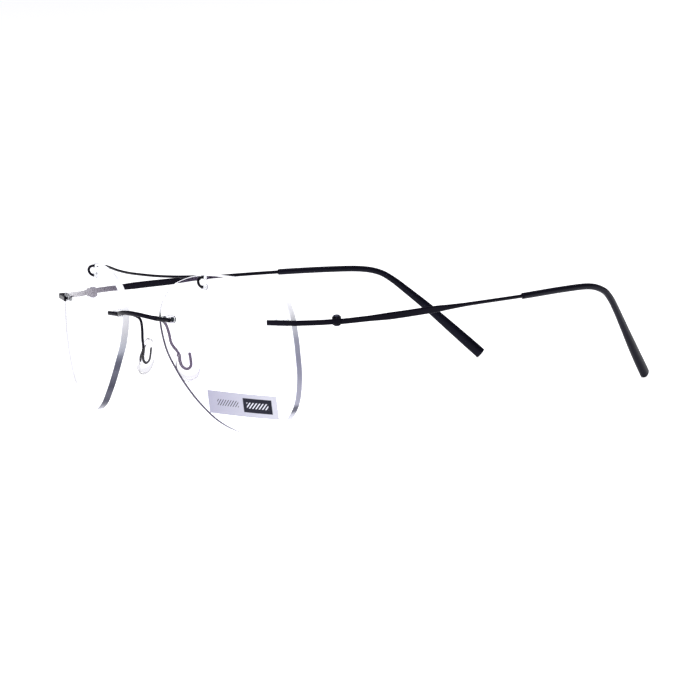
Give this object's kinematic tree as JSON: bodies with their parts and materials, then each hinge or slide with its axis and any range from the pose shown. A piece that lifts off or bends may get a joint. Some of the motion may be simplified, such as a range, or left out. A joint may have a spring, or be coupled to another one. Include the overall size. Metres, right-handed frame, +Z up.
{
  "type": "eyeglasses",
  "caption": "Rimless pilot eyeglasses with a double bridge, drilled lenses, soft nose pads and slim folding temples with curved sleeves.",
  "frame": {"origin": "on the table, at the middle of the footprint of the open spectacles", "axes": "the wearer faces -Y and the temples run back along +Y, +X is the wearer's left, +Z is up"},
  "size_m": [0.1402, 0.1628, 0.0472],
  "materials": {
    "lens": "polished clear demo lens with a faint violet coating",
    "black_metal": "semi-gloss black plating with a slight violet cast",
    "screw_steel": "blued steel",
    "tip_sleeve": "satin black acetate",
    "pad_silicone": "clear soft silicone",
    "bushing_clear": "clear nylon",
    "sticker_film": "thin printed film, plain pattern"
  },
  "bodies": {
    "front": {"left_lens": "lens", "right_lens": "lens", "nose_bridge": "black_metal", "brow_bar": "black_metal", "left_pad_arm": "black_metal", "right_pad_arm": "black_metal", "left_end_piece": "black_metal", "right_end_piece": "black_metal", "left_hinge_screw": "screw_steel", "right_hinge_screw": "screw_steel", "left_nose_pad": "pad_silicone", "right_nose_pad": "pad_silicone", "left_bridge_bushing": "bushing_clear", "left_end_bushing": "bushing_clear", "left_brow_bushing": "bushing_clear", "left_brow_sleeve": "bushing_clear", "right_bridge_bushing": "bushing_clear", "right_end_bushing": "bushing_clear", "right_brow_bushing": "bushing_clear", "right_brow_sleeve": "bushing_clear", "demo_sticker": "sticker_film"},
    "left_temple": {"left_temple": "black_metal", "left_temple_tip": "tip_sleeve"},
    "right_temple": {"right_temple": "black_metal", "right_temple_tip": "tip_sleeve"}
  },
  "joints": [
    {"name": "left_temple_hinge", "type": "hinge", "parent": "front", "child": "left_temple", "pos_m": [0.0666, -0.05223, 0.03379], "axis": [0, 0, 1], "range_deg": [0, 84]},
    {"name": "right_temple_hinge", "type": "hinge", "parent": "front", "child": "right_temple", "pos_m": [-0.0666, -0.05223, 0.03379], "axis": [0, 0, -1], "range_deg": [0, 80]}
  ]
}
